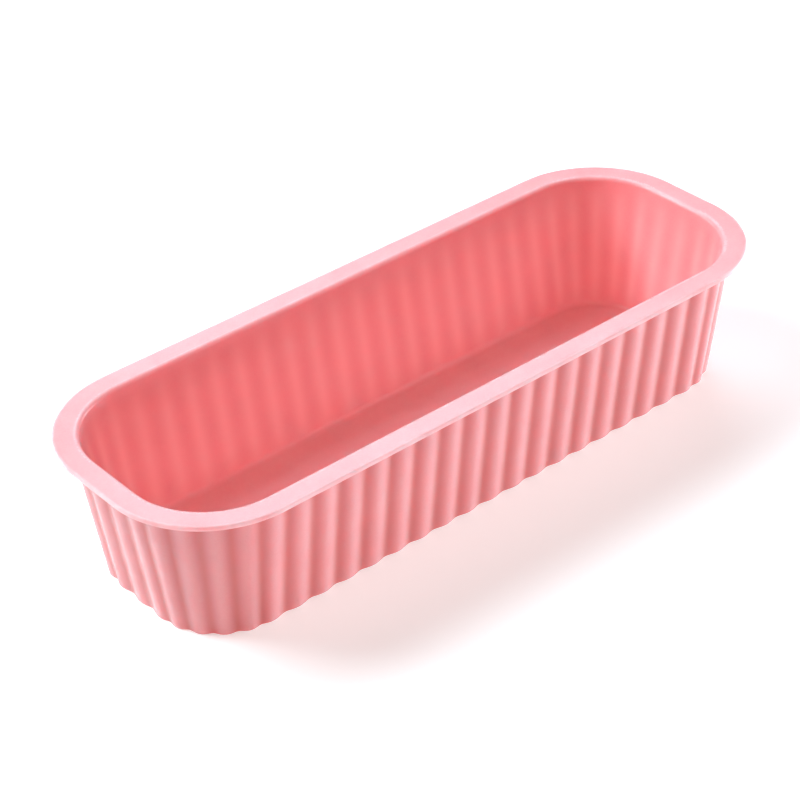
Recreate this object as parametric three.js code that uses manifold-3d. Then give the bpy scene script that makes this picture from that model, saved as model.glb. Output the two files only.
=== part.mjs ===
// Soap loaf mould: one flexible silicone moulding, an open tray with a fluted outer wall,
// a smooth drafted cavity and a flat flange round its mouth.
// Millimetres, +Z up. Origin: centre of the base, on the surface that the mould stands on.
// +X runs along the loaf's length.

import * as THREE from 'three';
import Module from 'manifold-3d';

// Flange round the mouth
const RIM_LENGTH = 250;
const RIM_WIDTH = 92.2;
const RIM_CORNER_RADIUS = 35.3;
const RIM_THICKNESS = 1.7;
const RIM_EDGE_ROUND = 0.4;
const RIM_FLAT_WIDTH = 6.6;

// Whole mould
const HEIGHT = 49.6;
const FLOOR_THICKNESS = 2.2;

// Fluted outer wall. Insets are measured inwards from the flange's outer edge, at the level of its top.
const CREST_INSET = 4.8;
const OUTER_DRAFT = Math.tan(THREE.MathUtils.degToRad(7.4));
const RIB_COUNT = 60;
const RIB_DEPTH = 0.75;
const RIB_SOFTNESS = 0.5;
const BASE_EDGE_ROUND = 0.4;

// Smooth cavity
const CAVITY_DRAFT = Math.tan(THREE.MathUtils.degToRad(9.0));
const MOUTH_ROUND = 1.6;
const FLOOR_ROUND = 2.0;

// Facets
const STEPS_PER_RIB = 8;
const STEPS_PER_CORNER = 14;
const STEPS_PER_ROUND = 4;
const OVERLAP = 1;

const STRAIGHT_X = RIM_LENGTH / 2 - RIM_CORNER_RADIUS;
const STRAIGHT_Y = RIM_WIDTH / 2 - RIM_CORNER_RADIUS;
const WALL_TOP = HEIGHT - RIM_THICKNESS;

// One quarter of the outline is half a long side, a corner arc and half a short end. Ribs are spaced
// evenly along it at the level of the flange, so they fan inwards round the corners on their way down.
const CREST_RADIUS = RIM_CORNER_RADIUS - CREST_INSET;
const QUARTER_LENGTH = STRAIGHT_X + CREST_RADIUS * Math.PI / 2 + STRAIGHT_Y;
const RIB_PITCH = 4 * QUARTER_LENGTH / RIB_COUNT;

// Point of the first quarter's outline, at a distance along it from the long side's middle
function quarterPoint(distance, inset) {
  const arc = CREST_RADIUS * Math.PI / 2;
  const radius = RIM_CORNER_RADIUS - inset;
  if (distance <= STRAIGHT_X) {
    return [distance, STRAIGHT_Y + radius];
  }
  if (distance >= STRAIGHT_X + arc) {
    return [STRAIGHT_X + radius, QUARTER_LENGTH - distance];
  }
  const angle = Math.PI / 2 - (distance - STRAIGHT_X) / CREST_RADIUS;
  return [STRAIGHT_X + radius * Math.cos(angle), STRAIGHT_Y + radius * Math.sin(angle)];
}

// Point of the whole outline. Distance 0 is the middle of the +Y side, and it grows clockwise from above.
function outlinePoint(distance, inset) {
  const quarter = Math.floor(distance / QUARTER_LENGTH);
  const along = distance - quarter * QUARTER_LENGTH;
  const mirrored = quarter % 2 === 1;
  const [x, y] = quarterPoint(mirrored ? QUARTER_LENGTH - along : along, inset);
  const signX = quarter < 2 ? 1 : -1;
  const signY = quarter === 0 || quarter === 3 ? 1 : -1;
  return [signX * x, signY * y];
}

// 0 on the crest of a rib and 1 at the bottom of a groove: broad round crests and narrow grooves
function grooveProfile(ribs) {
  const swing = Math.abs(Math.cos(Math.PI * ribs));
  const soft = Math.hypot(swing, RIB_SOFTNESS) - RIB_SOFTNESS;
  return 1 - soft / (Math.hypot(1, RIB_SOFTNESS) - RIB_SOFTNESS);
}

function flutedRing(inset, z) {
  const columns = RIB_COUNT * STEPS_PER_RIB;
  return Array.from({ length: columns }, (_, column) => {
    const ribs = column / STEPS_PER_RIB;
    const [x, y] = outlinePoint(ribs * RIB_PITCH, inset + RIB_DEPTH * grooveProfile(ribs));
    return [x, y, z];
  });
}

function smoothRing(inset, z) {
  const radius = RIM_CORNER_RADIUS - inset;
  const ring = [];
  for (let corner = 0; corner < 4; corner += 1) {
    const signX = corner < 2 ? 1 : -1;
    const signY = corner === 0 || corner === 3 ? 1 : -1;
    for (let step = 0; step <= STEPS_PER_CORNER; step += 1) {
      const angle = Math.PI / 2 * (1 - corner - step / STEPS_PER_CORNER);
      ring.push([
        signX * STRAIGHT_X + radius * Math.cos(angle),
        signY * STRAIGHT_Y + radius * Math.sin(angle),
        z,
      ]);
    }
  }
  return ring;
}

// Closed solid through rings of equal length, lowest first, each clockwise from above
function stackRings(rings) {
  const columns = rings[0].length;
  const positions = rings.flat(2);
  const indices = [];
  const at = (row, column) => row * columns + column % columns;
  for (let row = 0; row < rings.length - 1; row += 1) {
    for (let column = 0; column < columns; column += 1) {
      const low = at(row, column);
      const lowNext = at(row, column + 1);
      const high = at(row + 1, column);
      const highNext = at(row + 1, column + 1);
      indices.push(low, highNext, lowNext, low, high, highNext);
    }
  }
  const bottomCentre = rings.length * columns;
  const topCentre = bottomCentre + 1;
  positions.push(0, 0, rings[0][0][2], 0, 0, rings[rings.length - 1][0][2]);
  for (let column = 0; column < columns; column += 1) {
    indices.push(bottomCentre, at(0, column), at(0, column + 1));
    indices.push(topCentre, at(rings.length - 1, column + 1), at(rings.length - 1, column));
  }
  return { positions, indices };
}

// Quarter-round between a level face and a wall, as [inset, rise] from the corner that it replaces
function quarterRound(radius) {
  return Array.from({ length: STEPS_PER_ROUND + 1 }, (_, step) => {
    const angle = Math.PI / 2 * step / STEPS_PER_ROUND;
    return [radius * (1 - Math.sin(angle)), radius * (1 - Math.cos(angle))];
  });
}

function flutedBlock() {
  const insetAt = (z) => CREST_INSET + OUTER_DRAFT * (HEIGHT - z);
  const foot = quarterRound(BASE_EDGE_ROUND)
    .filter((_, step) => step % 2 === 0)
    .map(([inset, rise]) => flutedRing(insetAt(rise) + inset, rise));
  const head = flutedRing(insetAt(WALL_TOP + OVERLAP), WALL_TOP + OVERLAP);
  return stackRings([...foot, head]);
}

function flangePlate() {
  return stackRings([
    smoothRing(RIM_EDGE_ROUND, WALL_TOP),
    smoothRing(0, WALL_TOP + RIM_EDGE_ROUND),
    smoothRing(0, HEIGHT - RIM_EDGE_ROUND),
    smoothRing(RIM_EDGE_ROUND, HEIGHT),
  ]);
}

// The cavity's wall leans out from the floor, and turns over the mouth's edge into the flange.
function cavity() {
  const wallTopInset = RIM_FLAT_WIDTH + MOUTH_ROUND;
  const insetAt = (z) => wallTopInset + CAVITY_DRAFT * (HEIGHT - MOUTH_ROUND - z);
  const floor = quarterRound(FLOOR_ROUND).map(([inset, rise]) => {
    const z = FLOOR_THICKNESS + rise;
    return smoothRing(insetAt(z) + inset, z);
  });
  const mouth = quarterRound(MOUTH_ROUND).reverse().map(([inset, drop]) => {
    const outward = MOUTH_ROUND - inset;
    return smoothRing(RIM_FLAT_WIDTH + outward, HEIGHT - drop);
  });
  const above = smoothRing(RIM_FLAT_WIDTH, HEIGHT + OVERLAP);
  return stackRings([...floor, ...mouth, above]);
}

const wasm = await Module();
wasm.setup();

function toSolid({ positions, indices }) {
  return new wasm.Manifold(new wasm.Mesh({
    numProp: 3,
    vertProperties: new Float32Array(positions),
    triVerts: new Uint32Array(indices),
  }));
}

function toGeometry(solid) {
  const mesh = solid.getMesh();
  const geometry = new THREE.BufferGeometry();
  geometry.setAttribute('position', new THREE.BufferAttribute(mesh.vertProperties, 3));
  geometry.setIndex(new THREE.BufferAttribute(mesh.triVerts, 1));
  geometry.computeVertexNormals();
  return geometry;
}

const silicone = new THREE.MeshStandardMaterial({
  name: 'pink_silicone',
  color: 0xf2a0a4,
  roughness: 0.5,
  metalness: 0,
});

function mouldBody() {
  const tray = toSolid(flutedBlock()).add(toSolid(flangePlate())).subtract(toSolid(cavity()));
  const mesh = new THREE.Mesh(toGeometry(tray), silicone);
  mesh.name = 'mould_body';
  return mesh;
}

const group = new THREE.Group();
group.add(mouldBody());

export default group;
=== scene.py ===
"""Soap loaf mould: one soft, slightly translucent pink silicone moulding with a fluted outer wall.

The piece here has the CAD part's form at a finer grain, with rounded edges, and stands for it.
Metres, in the CAD part's frame: +X along the loaf, +Z up, origin on the surface that it stands on.
"""

import math

import bpy
import numpy as np
from mathutils import Matrix, Vector


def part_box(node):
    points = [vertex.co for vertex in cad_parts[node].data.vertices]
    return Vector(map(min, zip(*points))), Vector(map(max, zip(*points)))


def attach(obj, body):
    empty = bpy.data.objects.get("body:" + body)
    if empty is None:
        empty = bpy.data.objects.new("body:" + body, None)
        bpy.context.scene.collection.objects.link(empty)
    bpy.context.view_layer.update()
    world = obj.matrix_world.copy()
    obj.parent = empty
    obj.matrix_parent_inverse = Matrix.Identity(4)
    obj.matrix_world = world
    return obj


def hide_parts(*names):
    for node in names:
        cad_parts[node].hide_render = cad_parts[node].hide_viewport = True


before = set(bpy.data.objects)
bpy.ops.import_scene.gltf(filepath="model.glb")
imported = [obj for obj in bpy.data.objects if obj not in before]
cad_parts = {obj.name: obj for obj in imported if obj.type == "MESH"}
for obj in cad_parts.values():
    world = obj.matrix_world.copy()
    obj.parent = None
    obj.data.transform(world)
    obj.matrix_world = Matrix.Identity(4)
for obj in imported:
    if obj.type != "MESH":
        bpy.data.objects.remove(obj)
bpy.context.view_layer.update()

MM = 0.001

# Overall size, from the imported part
LOW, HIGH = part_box("mould_body")
RIM_LENGTH = HIGH.x - LOW.x
RIM_WIDTH = HIGH.y - LOW.y
HEIGHT = HIGH.z - LOW.z

# The form's own sizes are the CAD part's, but for deeper grooves and a fillet under the flange.

# Flange round the mouth
RIM_CORNER_RADIUS = 35.3 * MM
RIM_THICKNESS = 1.7 * MM
RIM_EDGE_ROUND = 0.4 * MM
RIM_EDGE_BAND = 2.5 * RIM_EDGE_ROUND
RIM_FLAT_WIDTH = 6.6 * MM

# Fluted outer wall. Insets are measured inwards from the flange's outer edge, at the level of its top.
CREST_INSET = 4.8 * MM
OUTER_DRAFT = math.tan(math.radians(7.4))
RIB_COUNT = 60
RIB_DEPTH = 0.9 * MM
RIB_SOFTNESS = 0.5
BASE_EDGE_ROUND = 0.4 * MM
FLANGE_FILLET = 0.5 * MM

# Smooth cavity
FLOOR_THICKNESS = 2.2 * MM
CAVITY_DRAFT = math.tan(math.radians(9.0))
MOUTH_ROUND = 1.6 * MM
FLOOR_ROUND = 2.0 * MM

# Height over which the painted light that comes through the thin wall fades out below the mouth
MOUTH_FADE = 8 * MM

# Mesh grain. The base and the floor have rings at these shares of their size, out from the middle.
STEPS_PER_RIB = 20
WALL_STEPS = 8
ROUND_STEPS = 6
CAP_SHARES = (0.8, 0.5, 0.2)

STRAIGHT_X = RIM_LENGTH / 2 - RIM_CORNER_RADIUS
STRAIGHT_Y = RIM_WIDTH / 2 - RIM_CORNER_RADIUS
WALL_TOP = HEIGHT - RIM_THICKNESS
CREST_RADIUS = RIM_CORNER_RADIUS - CREST_INSET
QUARTER_LENGTH = STRAIGHT_X + CREST_RADIUS * math.pi / 2 + STRAIGHT_Y


# ---------------------------------------------------------------- the moulding's mesh

def outline(ribs, inset):
    """Points of the mould's outline seen from above, for a count of ribs from the middle of the +Y side."""
    quarter_ribs = RIB_COUNT / 4
    quarter = np.floor(ribs / quarter_ribs).astype(int) % 4
    along = (ribs / quarter_ribs) % 1.0
    mirrored = quarter % 2 == 1
    distance = np.where(mirrored, 1.0 - along, along) * QUARTER_LENGTH
    radius = RIM_CORNER_RADIUS - inset
    turn = np.clip((distance - STRAIGHT_X) / CREST_RADIUS, 0, math.pi / 2)
    end_run = np.clip(distance - STRAIGHT_X - CREST_RADIUS * math.pi / 2, 0, None)
    x = np.minimum(distance, STRAIGHT_X) + radius * np.sin(turn)
    y = STRAIGHT_Y - end_run + radius * np.cos(turn)
    sign_x = np.where(quarter < 2, 1, -1)
    sign_y = np.where((quarter == 0) | (quarter == 3), 1, -1)
    return sign_x * x, sign_y * y


def groove_profile(ribs):
    """0 on the crest of a rib and 1 at the bottom of a groove: broad round crests and narrow grooves."""
    swing = np.abs(np.cos(np.pi * ribs))
    soft = np.hypot(swing, RIB_SOFTNESS) - RIB_SOFTNESS
    return 1 - soft / (math.hypot(1, RIB_SOFTNESS) - RIB_SOFTNESS)


def arc(inset, z, radius, start, end):
    """Points of an arc in the section, as (inset, z), from one angle to another in degrees."""
    angles = np.radians(np.linspace(start, end, ROUND_STEPS + 1))
    return [(inset + radius * math.cos(a), z + radius * math.sin(a)) for a in angles]


def outer_inset(z):
    return CREST_INSET + OUTER_DRAFT * (HEIGHT - z)


def cavity_inset(z):
    return RIM_FLAT_WIDTH + MOUTH_ROUND + CAVITY_DRAFT * (HEIGHT - MOUTH_ROUND - z)


def fluted_section():
    """The outer wall from the base up to the flange, as (inset, z)."""
    foot = [
        (outer_inset(z) + BASE_EDGE_ROUND + inset, z)
        for inset, z in arc(0, BASE_EDGE_ROUND, BASE_EDGE_ROUND, 270, 180)
    ]
    foot_top, wall_top = BASE_EDGE_ROUND, WALL_TOP - FLANGE_FILLET
    wall = [(outer_inset(z), z) for z in np.linspace(foot_top, wall_top, WALL_STEPS + 1)[1:]]
    fillet = arc(outer_inset(wall_top) - FLANGE_FILLET, wall_top, FLANGE_FILLET, 0, 90)[1:]
    edge_of_base = [(foot[0][0] + BASE_EDGE_ROUND, 0)]
    return edge_of_base + foot + wall + fillet


def smooth_section():
    """The flange, from its underside round its edge, over the mouth and down to the floor, as (inset, z)."""
    edge = RIM_EDGE_ROUND
    underside = [(RIM_EDGE_BAND, WALL_TOP)]
    lower_edge = arc(edge, WALL_TOP + edge, edge, 270, 180)
    upper_edge = arc(edge, HEIGHT - edge, edge, 180, 90)
    flat = [(RIM_EDGE_BAND, HEIGHT), (RIM_FLAT_WIDTH / 2, HEIGHT), (RIM_FLAT_WIDTH - edge, HEIGHT)]
    mouth = arc(RIM_FLAT_WIDTH, HEIGHT - MOUTH_ROUND, MOUTH_ROUND, 90, 0)
    low = FLOOR_THICKNESS + FLOOR_ROUND
    wall = [(cavity_inset(z), z) for z in np.linspace(HEIGHT - MOUTH_ROUND, low, WALL_STEPS + 1)[1:]]
    floor = [
        (cavity_inset(z) + FLOOR_ROUND + inset, z)
        for inset, z in arc(0, low, FLOOR_ROUND, 180, 270)[1:]
    ]
    edge_of_floor = [(floor[-1][0] + edge, FLOOR_THICKNESS)]
    return underside + lower_edge + upper_edge + flat + mouth + wall + floor + edge_of_floor


def ring(section_point, groove_depth):
    """Vertices all round the mould at one point of its section."""
    inset, z = section_point
    ribs = np.arange(RIB_COUNT * STEPS_PER_RIB) / STEPS_PER_RIB
    x, y = outline(ribs, inset + groove_depth * groove_profile(ribs))
    return np.stack([x, y, np.full_like(x, z)], axis=1)


def closed_skin(rings):
    """Vertices and faces of the closed surface through the rings, with a flat cap at each end."""
    base_cap = [rings[0] * (share, share, 1) for share in reversed(CAP_SHARES)]
    floor_cap = [rings[-1] * (share, share, 1) for share in CAP_SHARES]
    rings = base_cap + rings + floor_cap
    columns = len(rings[0])
    points = np.concatenate(rings)
    centres = np.array([[0, 0, rings[0][0][2]], [0, 0, rings[-1][0][2]]])
    base_centre = len(points)
    floor_centre = base_centre + 1
    here = np.arange(columns)
    following = (here + 1) % columns
    faces = []
    for row in range(len(rings) - 1):
        low, high = row * columns, (row + 1) * columns
        quads = np.stack([low + here, high + here, high + following, low + following], axis=1)
        faces.extend(quads.tolist())
    last = (len(rings) - 1) * columns
    faces.extend([base_centre, int(a), int(b)] for a, b in zip(here, following))
    faces.extend([floor_centre, int(b), int(a)] for a, b in zip(last + here, last + following))
    return np.concatenate([points, centres]), faces


def inset_of(points):
    """How far each point lies inside the flange's outer edge, seen from above."""
    past_x = np.clip(abs(points[:, 0]) - STRAIGHT_X, 0, None)
    past_y = np.clip(abs(points[:, 1]) - STRAIGHT_Y, 0, None)
    return RIM_CORNER_RADIUS - np.hypot(past_x, past_y)


def place_on_wall(points):
    """For each point, its groove profile and how far it lies behind the bottom of the grooves outside."""
    ribs = np.arange(len(points)) % (RIB_COUNT * STEPS_PER_RIB) / STEPS_PER_RIB
    return groove_profile(ribs), inset_of(points) - outer_inset(points[:, 2]) - RIB_DEPTH


def painted_through_light(points):
    """Mask of the painted light that comes through the thin wall: 1 where the cavity's wall backs onto the
    bottom of a groove, 0 on thick parts and outside.
    """
    groove, depth = place_on_wall(points)
    z = points[:, 2]
    inside = np.clip(depth / MM, 0, 1)
    below_mouth = np.clip((HEIGHT - MOUTH_ROUND - z) / MOUTH_FADE, 0, 1)
    above_floor = np.clip((z - FLOOR_THICKNESS - FLOOR_ROUND / 2) / FLOOR_ROUND, 0, 1)
    return groove * inside * below_mouth * above_floor


def painted_groove_shade(points):
    """Mask of the painted shade in the outer wall's grooves: 1 at their bottoms, 0 on their crests and
    elsewhere.
    """
    groove, depth = place_on_wall(points)
    outside = (depth < 0.5 * MM) & (points[:, 2] < WALL_TOP - FLANGE_FILLET / 2)
    return groove * outside


def edge_wear_and_light(points):
    """Mask of paler edges, 1 on the flange's edge, less on the mouth's and the base's edges, 0 elsewhere:
    worn rubber, with painted light on the flange's thin edge.
    """
    inset = inset_of(points)
    z = points[:, 2]
    flange = np.clip(1 - inset / RIM_EDGE_BAND, 0, 1)
    mouth = (abs(inset - RIM_FLAT_WIDTH - MOUTH_ROUND / 3) < MOUTH_ROUND / 3) & (z > HEIGHT - MOUTH_ROUND / 2)
    base = (z < BASE_EDGE_ROUND / 2) & (inset < outer_inset(z) + RIB_DEPTH + BASE_EDGE_ROUND)
    return flange + 0.5 * mouth + 0.7 * base


def make_mould():
    rings = [ring(point, RIB_DEPTH) for point in fluted_section()]
    rings += [ring(point, 0) for point in smooth_section()]
    points, faces = closed_skin(rings)
    mesh = bpy.data.meshes.new("silicone_mould")
    mesh.from_pydata(points.tolist(), [], faces)
    mesh.shade_smooth()
    for measure in (painted_through_light, painted_groove_shade, edge_wear_and_light):
        attribute = mesh.attributes.new(measure.__name__, "FLOAT", "POINT")
        attribute.data.foreach_set("value", measure(points))
    mesh.validate()
    mould = bpy.data.objects.new("silicone_mould", mesh)
    bpy.context.scene.collection.objects.link(mould)
    return mould


# ---------------------------------------------------------------- materials

# Pink silicone rubber, as linear red, green and blue
SILICONE_DEEP = (0.82, 0.38, 0.398)
SILICONE_PALE = (0.87, 0.415, 0.432)
SILICONE_SPECK = (0.90, 0.62, 0.64)
# Painted shade: deep red for the bottoms of the outer grooves
SILICONE_PAINTED_GROOVE_SHADE = (0.62, 0.17, 0.16)
# Painted light: pale pink where light comes through the cavity's thin wall
SILICONE_PAINTED_THROUGH_LIGHT = (0.92, 0.53, 0.53)
# Pale edges: worn rubber, and painted light on the flange's thin edge
SILICONE_WORN_AND_LIT = (0.92, 0.68, 0.71)


def new_material(name):
    material = bpy.data.materials.new(name)
    material.use_nodes = True
    tree = material.node_tree
    return material, tree, tree.nodes["Principled BSDF"]


def noise(tree, position, scale, detail):
    """Noise of a given number of cells per metre."""
    node = tree.nodes.new("ShaderNodeTexNoise")
    node.inputs["Scale"].default_value = scale
    node.inputs["Detail"].default_value = detail
    tree.links.new(position, node.inputs["Vector"])
    return node.outputs["Fac"]


def map_range(tree, value, source, target):
    node = tree.nodes.new("ShaderNodeMapRange")
    for socket, number in zip(("From Min", "From Max", "To Min", "To Max"), (*source, *target)):
        node.inputs[socket].default_value = number
    tree.links.new(value, node.inputs["Value"])
    return node.outputs["Result"]


def mix_colour(tree, factor, first, second):
    """Mix of two colours, each a socket or plain numbers."""
    node = tree.nodes.new("ShaderNodeMix")
    node.data_type = "RGBA"
    tree.links.new(factor, node.inputs["Factor"])
    for socket, colour in zip((node.inputs[6], node.inputs[7]), (first, second)):
        if isinstance(colour, tuple):
            socket.default_value = (*colour, 1)
        else:
            tree.links.new(colour, socket)
    return node.outputs[2]


def calculate(tree, operation, first, second):
    """Sum, product or the like of two sockets."""
    node = tree.nodes.new("ShaderNodeMath")
    node.operation = operation
    tree.links.new(first, node.inputs[0])
    tree.links.new(second, node.inputs[1])
    return node.outputs["Value"]


def bump(tree, height, distance, normal=None):
    """Normal of a surface with a relief of a given depth."""
    node = tree.nodes.new("ShaderNodeBump")
    node.inputs["Distance"].default_value = distance
    tree.links.new(height, node.inputs["Height"])
    if normal:
        tree.links.new(normal, node.inputs["Normal"])
    return node.outputs["Normal"]


def mesh_attribute(tree, name):
    """Value that the mesh holds for each of its vertices."""
    node = tree.nodes.new("ShaderNodeAttribute")
    node.attribute_name = name
    return node.outputs["Fac"]


def silicone_material():
    material, tree, shader = new_material("pink_silicone")
    position = tree.nodes.new("ShaderNodeTexCoord").outputs["Object"]
    through_light_mask = mesh_attribute(tree, "painted_through_light")
    groove = mesh_attribute(tree, "painted_groove_shade")
    rubbed = map_range(tree, noise(tree, position, 150, 3), (0.35, 0.65), (0.4, 1))
    edges = calculate(tree, "MULTIPLY", mesh_attribute(tree, "edge_wear_and_light"), rubbed)

    # Colour: cloudy pigment and fine specks of it; painted shade deepening the grooves; painted light paling
    # the cavity's wall where it is thin enough to let light through; paler edges, which are worn rubber and,
    # on the flange's thin edge, also painted light
    clouds = map_range(tree, noise(tree, position, 60, 3), (0.3, 0.7), (0, 1))
    pigment = mix_colour(tree, clouds, SILICONE_DEEP, SILICONE_PALE)
    specks = map_range(tree, noise(tree, position, 1600, 2), (0.35, 0.75), (0, 0.12))
    speckled = mix_colour(tree, specks, pigment, SILICONE_SPECK)
    # Painted shade: the outer grooves' bottoms are darkened towards a deep red
    shade = map_range(tree, groove, (0, 1), (0, 0.7))
    groove_shaded = mix_colour(tree, shade, speckled, SILICONE_PAINTED_GROOVE_SHADE)
    # Painted light: paler bands where the cavity's wall is thin enough for light to come through
    glow = map_range(tree, through_light_mask, (0, 1), (0, 0.9))
    through_lit = mix_colour(tree, glow, groove_shaded, SILICONE_PAINTED_THROUGH_LIGHT)
    # Paler edges: worn rubber, and on the flange's thin edge also painted light
    pale_edge_share = map_range(tree, edges, (0, 1), (0, 0.6))
    tree.links.new(mix_colour(tree, pale_edge_share, through_lit, SILICONE_WORN_AND_LIT), shader.inputs["Base Color"])

    # Gloss: satin, with broad smoother and duller patches, a fine grain, and duller edges
    patches = map_range(tree, noise(tree, position, 25, 4), (0.3, 0.7), (0.17, 0.25))
    grain = map_range(tree, noise(tree, position, 2500, 2), (0.3, 0.7), (-0.03, 0.03))
    dull_edges = map_range(tree, edges, (0, 1), (0, 0.2))
    grained = calculate(tree, "ADD", patches, grain)
    tree.links.new(calculate(tree, "ADD", grained, dull_edges), shader.inputs["Roughness"])

    # Relief: the mould steel's fine blasted finish over a faint waviness from moulding
    waves = bump(tree, noise(tree, position, 90, 2), 0.06 * MM)
    blasted = bump(tree, noise(tree, position, 3500, 3), 0.012 * MM, waves)
    tree.links.new(blasted, shader.inputs["Normal"])

    shader.inputs["IOR"].default_value = 1.41
    shader.inputs["Subsurface Weight"].default_value = 1.0
    shader.inputs["Subsurface Radius"].default_value = (1.0, 0.3, 0.3)
    shader.inputs["Subsurface Scale"].default_value = 7 * MM
    shader.inputs["Sheen Weight"].default_value = 0.05
    shader.inputs["Sheen Roughness"].default_value = 0.4
    return material


def floor_material():
    """A white table with a faint glow of its own, so that the shadow on it stays pale."""
    material, tree, shader = new_material("studio_floor")
    shader.inputs["Base Color"].default_value = (0.75, 0.75, 0.75, 1)
    shader.inputs["Roughness"].default_value = 0.8
    shader.inputs["Emission Color"].default_value = (1, 1, 1, 1)
    shader.inputs["Emission Strength"].default_value = 0.42
    return material


# ---------------------------------------------------------------- studio

def make_floor():
    reach = 12 * RIM_LENGTH
    mesh = bpy.data.meshes.new("floor")
    corners = [(-reach, -reach, 0), (reach, -reach, 0), (reach, reach, 0), (-reach, reach, 0)]
    mesh.from_pydata(corners, [], [(0, 1, 2, 3)])
    mesh.materials.append(floor_material())
    floor = bpy.data.objects.new("floor", mesh)
    bpy.context.scene.collection.objects.link(floor)


# The camera looks at the loaf from its near left, with a long lens. Angles are in degrees. The mouth's
# centre lies TARGET_SHIFT right and down of the picture's middle. Shift and distance are in mould lengths.
LENS = 104.33
YAW = 39.01
PITCH = 34.47
ROLL = -2.46
TARGET_SHIFT = (0.0222, -0.0932)
TARGET_DISTANCE = 2.9567


def make_camera():
    yaw, pitch, roll = (math.radians(angle) for angle in (YAW, PITCH, ROLL))
    ahead = Vector((math.sin(yaw) * math.cos(pitch), math.cos(yaw) * math.cos(pitch), -math.sin(pitch)))
    level_right = Vector((math.cos(yaw), -math.sin(yaw), 0))
    level_up = level_right.cross(ahead)
    right = level_right * math.cos(roll) + level_up * math.sin(roll)
    up = level_up * math.cos(roll) - level_right * math.sin(roll)
    mouth_centre = Vector((0, 0, HEIGHT))
    across, down = TARGET_SHIFT
    place = mouth_centre - (right * across - up * down + ahead * TARGET_DISTANCE) * RIM_LENGTH
    data = bpy.data.cameras.new("camera")
    data.lens = LENS
    camera = bpy.data.objects.new("camera", data)
    bpy.context.scene.collection.objects.link(camera)
    turn = Matrix((right, up, -ahead)).transposed().to_4x4()
    camera.matrix_world = Matrix.Translation(place) @ turn
    bpy.context.scene.camera = camera


LIGHT_DISTANCE = 1.2

# Compass angle round the mould and height, both in degrees, width and height in metres, power in watts
# and colour of each softbox
SOFTBOXES = {
    "right_low_strip": (73, 1.2, 0.6, 0.05, 17, (0.76, 1, 1.06)),
    "left_low_strip": (-150, 4, 0.4, 0.05, 3, (1, 1, 1)),
    "left_rear_softbox": (-140, 46, 0.55, 0.55, 15, (0.84, 1, 1.06)),
    "rear_softbox": (140, 45, 0.6, 0.6, 5.5, (0.84, 1, 1.13)),
    "front_high_softbox": (-40, 60, 0.6, 0.6, 2.6, (1.6, 1, 0.88)),
    "right_softbox": (50, 35, 0.6, 0.6, 2.2, (1.1, 1, 1)),
}


def softbox(name, azimuth, elevation, width, height, power, colour):
    """A rectangular area light aimed at the mould's middle."""
    a, e = math.radians(azimuth), math.radians(elevation)
    back = Vector((math.sin(a) * math.cos(e), -math.cos(a) * math.cos(e), math.sin(e)))
    data = bpy.data.lights.new(name, "AREA")
    data.shape = "RECTANGLE"
    data.size = width
    data.size_y = height
    data.energy = power
    data.color = colour
    light = bpy.data.objects.new(name, data)
    light.location = Vector((0, 0, HEIGHT / 2)) + back * LIGHT_DISTANCE
    light.rotation_mode = "QUATERNION"
    light.rotation_quaternion = back.to_track_quat("Z", "Y")
    bpy.context.scene.collection.objects.link(light)


def make_world():
    world = bpy.data.worlds.new("studio")
    world.use_nodes = True
    background = world.node_tree.nodes["Background"]
    background.inputs["Color"].default_value = (1, 1, 1, 1)
    background.inputs["Strength"].default_value = 0.02
    bpy.context.scene.world = world


def make_studio():
    make_floor()
    make_camera()
    make_world()
    for name, settings in SOFTBOXES.items():
        softbox(name, *settings)
    bpy.context.scene.view_settings.view_transform = "Standard"


# ---------------------------------------------------------------- the scene

mould = make_mould()
mould.data.materials.append(silicone_material())
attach(mould, "root")
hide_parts("mould_body")
make_studio()
